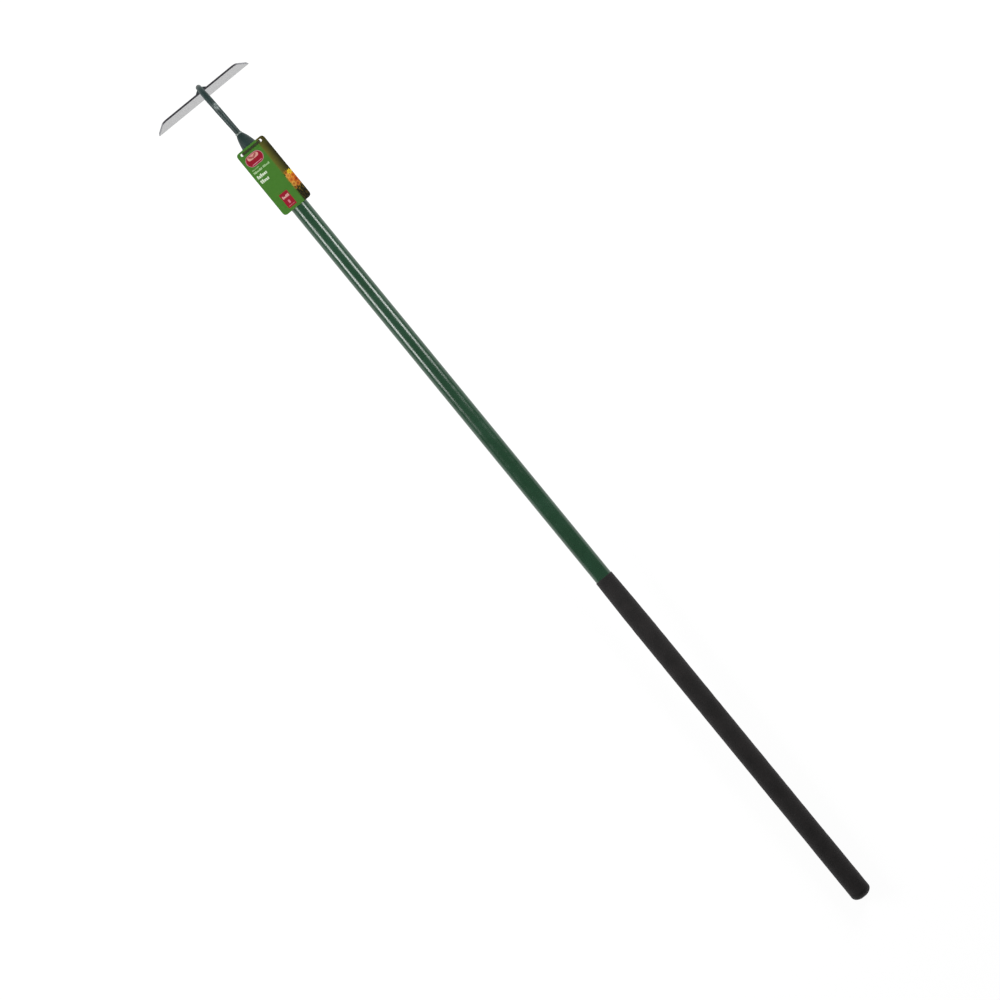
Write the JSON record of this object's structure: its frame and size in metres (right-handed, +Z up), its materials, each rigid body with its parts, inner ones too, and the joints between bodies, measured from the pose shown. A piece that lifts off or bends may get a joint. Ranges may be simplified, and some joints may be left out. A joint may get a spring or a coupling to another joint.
{
  "type": "draw hoe",
  "caption": "Long-handled draw hoe: a flat trapezoid blade on a bent neck, a pointed socket, a slim round shaft, a long soft grip and a hang card tied below the socket.",
  "frame": {"origin": "centre of the hoe's bounding box on the floor it lies on: the cutting edge and the grip's end touch z = 0", "axes": "+X towards the grip's end, within 2.5 degrees of the shaft's axis; +Y across the blade; +Z up, away from the floor"},
  "size_m": [1.5078, 0.1654, 0.0902],
  "materials": {
    "ground_steel": "ground, satin",
    "dark_paint": "satin paint",
    "weld_metal": "thinly painted weld bead",
    "green_paint": "satin paint",
    "rivet_steel": "plated",
    "plug_plastic": "moulded",
    "grip_foam": "matte, fine pores",
    "printed_card": "printed, glossy film",
    "tie_nylon": "moulded nylon"
  },
  "bodies": {
    "hoe": {"blade": "ground_steel", "blade_weld_left": "dark_paint", "blade_weld_right": "dark_paint", "neck": "dark_paint", "neck_weld": "weld_metal", "socket": "dark_paint", "shaft_tube": "green_paint", "rivet_left": "rivet_steel", "rivet_right": "rivet_steel", "tube_plug": "plug_plastic", "grip": "grip_foam", "card_top": "printed_card", "cable_tie": "tie_nylon"},
    "flap": {"card_flap": "printed_card"}
  },
  "joints": [
    {"name": "card_lift", "type": "hinge", "parent": "hoe", "child": "flap", "pos_m": [-0.62704, 0.0098, 0.08861], "axis": [0, -1, 0], "range_deg": [0, 80]}
  ]
}
